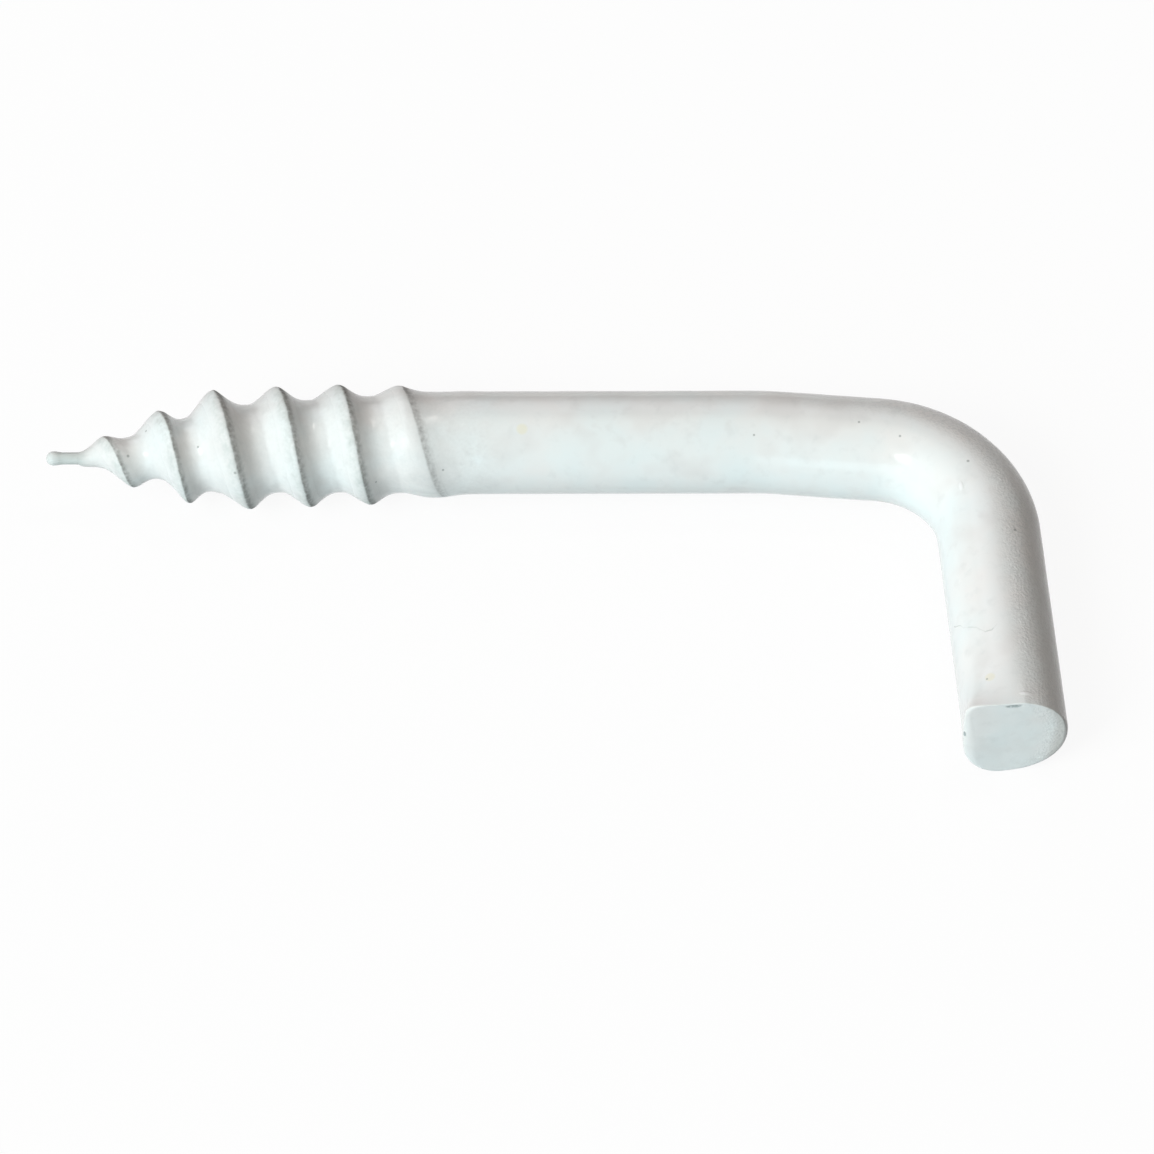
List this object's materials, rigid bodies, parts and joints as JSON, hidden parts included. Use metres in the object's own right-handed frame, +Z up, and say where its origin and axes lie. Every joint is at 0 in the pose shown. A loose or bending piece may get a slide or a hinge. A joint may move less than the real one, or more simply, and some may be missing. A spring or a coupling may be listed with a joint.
{
  "type": "screw-in hinge pin",
  "caption": "L-shaped hinge pin of white enamelled wire, with a wood-screw thread on one end and a plain round pin for a hinge eye on the other.",
  "frame": {"origin": "on the pin's axis, where the bend ends and the straight pin starts", "axes": "-Y along the pin to its cropped end, -X towards the screw point, +Z up as it lies at rest"},
  "size_m": [0.0398, 0.0198, 0.0051],
  "materials": {
    "enamel": "glossy white dip enamel over steel wire, with a faint orange peel"
  },
  "bodies": {
    "root": {"hinge_pin": "enamel"}
  },
  "joints": []
}
